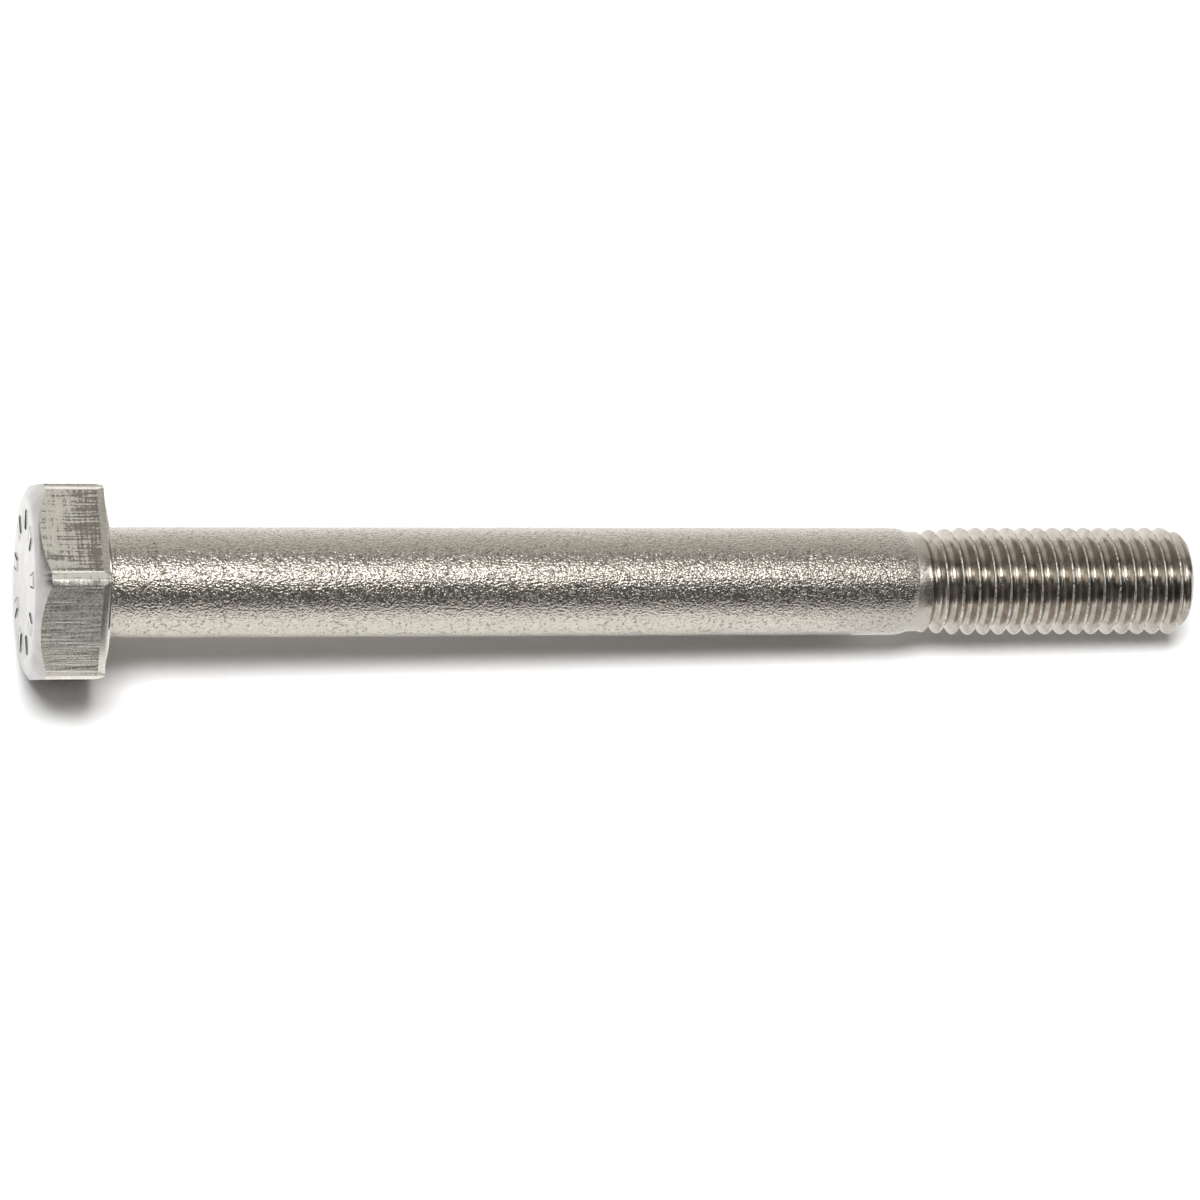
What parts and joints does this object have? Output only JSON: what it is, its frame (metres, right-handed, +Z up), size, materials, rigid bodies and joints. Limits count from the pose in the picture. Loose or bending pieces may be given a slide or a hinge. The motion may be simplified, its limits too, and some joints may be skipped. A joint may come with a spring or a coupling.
{
  "type": "hex bolt",
  "caption": "Metric hex head bolt with a washer face, a long plain shank, a part-length coarse thread and a chamfered point.",
  "frame": {"origin": "centre of the bearing face under the head, on the bolt's axis", "axes": "+X along the shank towards the thread's point, +Z up with one flat of the hexagon facing down"},
  "size_m": [0.1074, 0.019, 0.017],
  "materials": {
    "head_steel": "die-drawn flats with fine cross scratches, bright end face",
    "bearing_steel": "satin",
    "shank_steel": "fine-grained matt, tumbled",
    "thread_steel": "bright rolled"
  },
  "bodies": {
    "root": {"hex_head": "head_steel", "washer_face": "bearing_steel", "shank": "shank_steel", "thread": "thread_steel"}
  },
  "joints": []
}
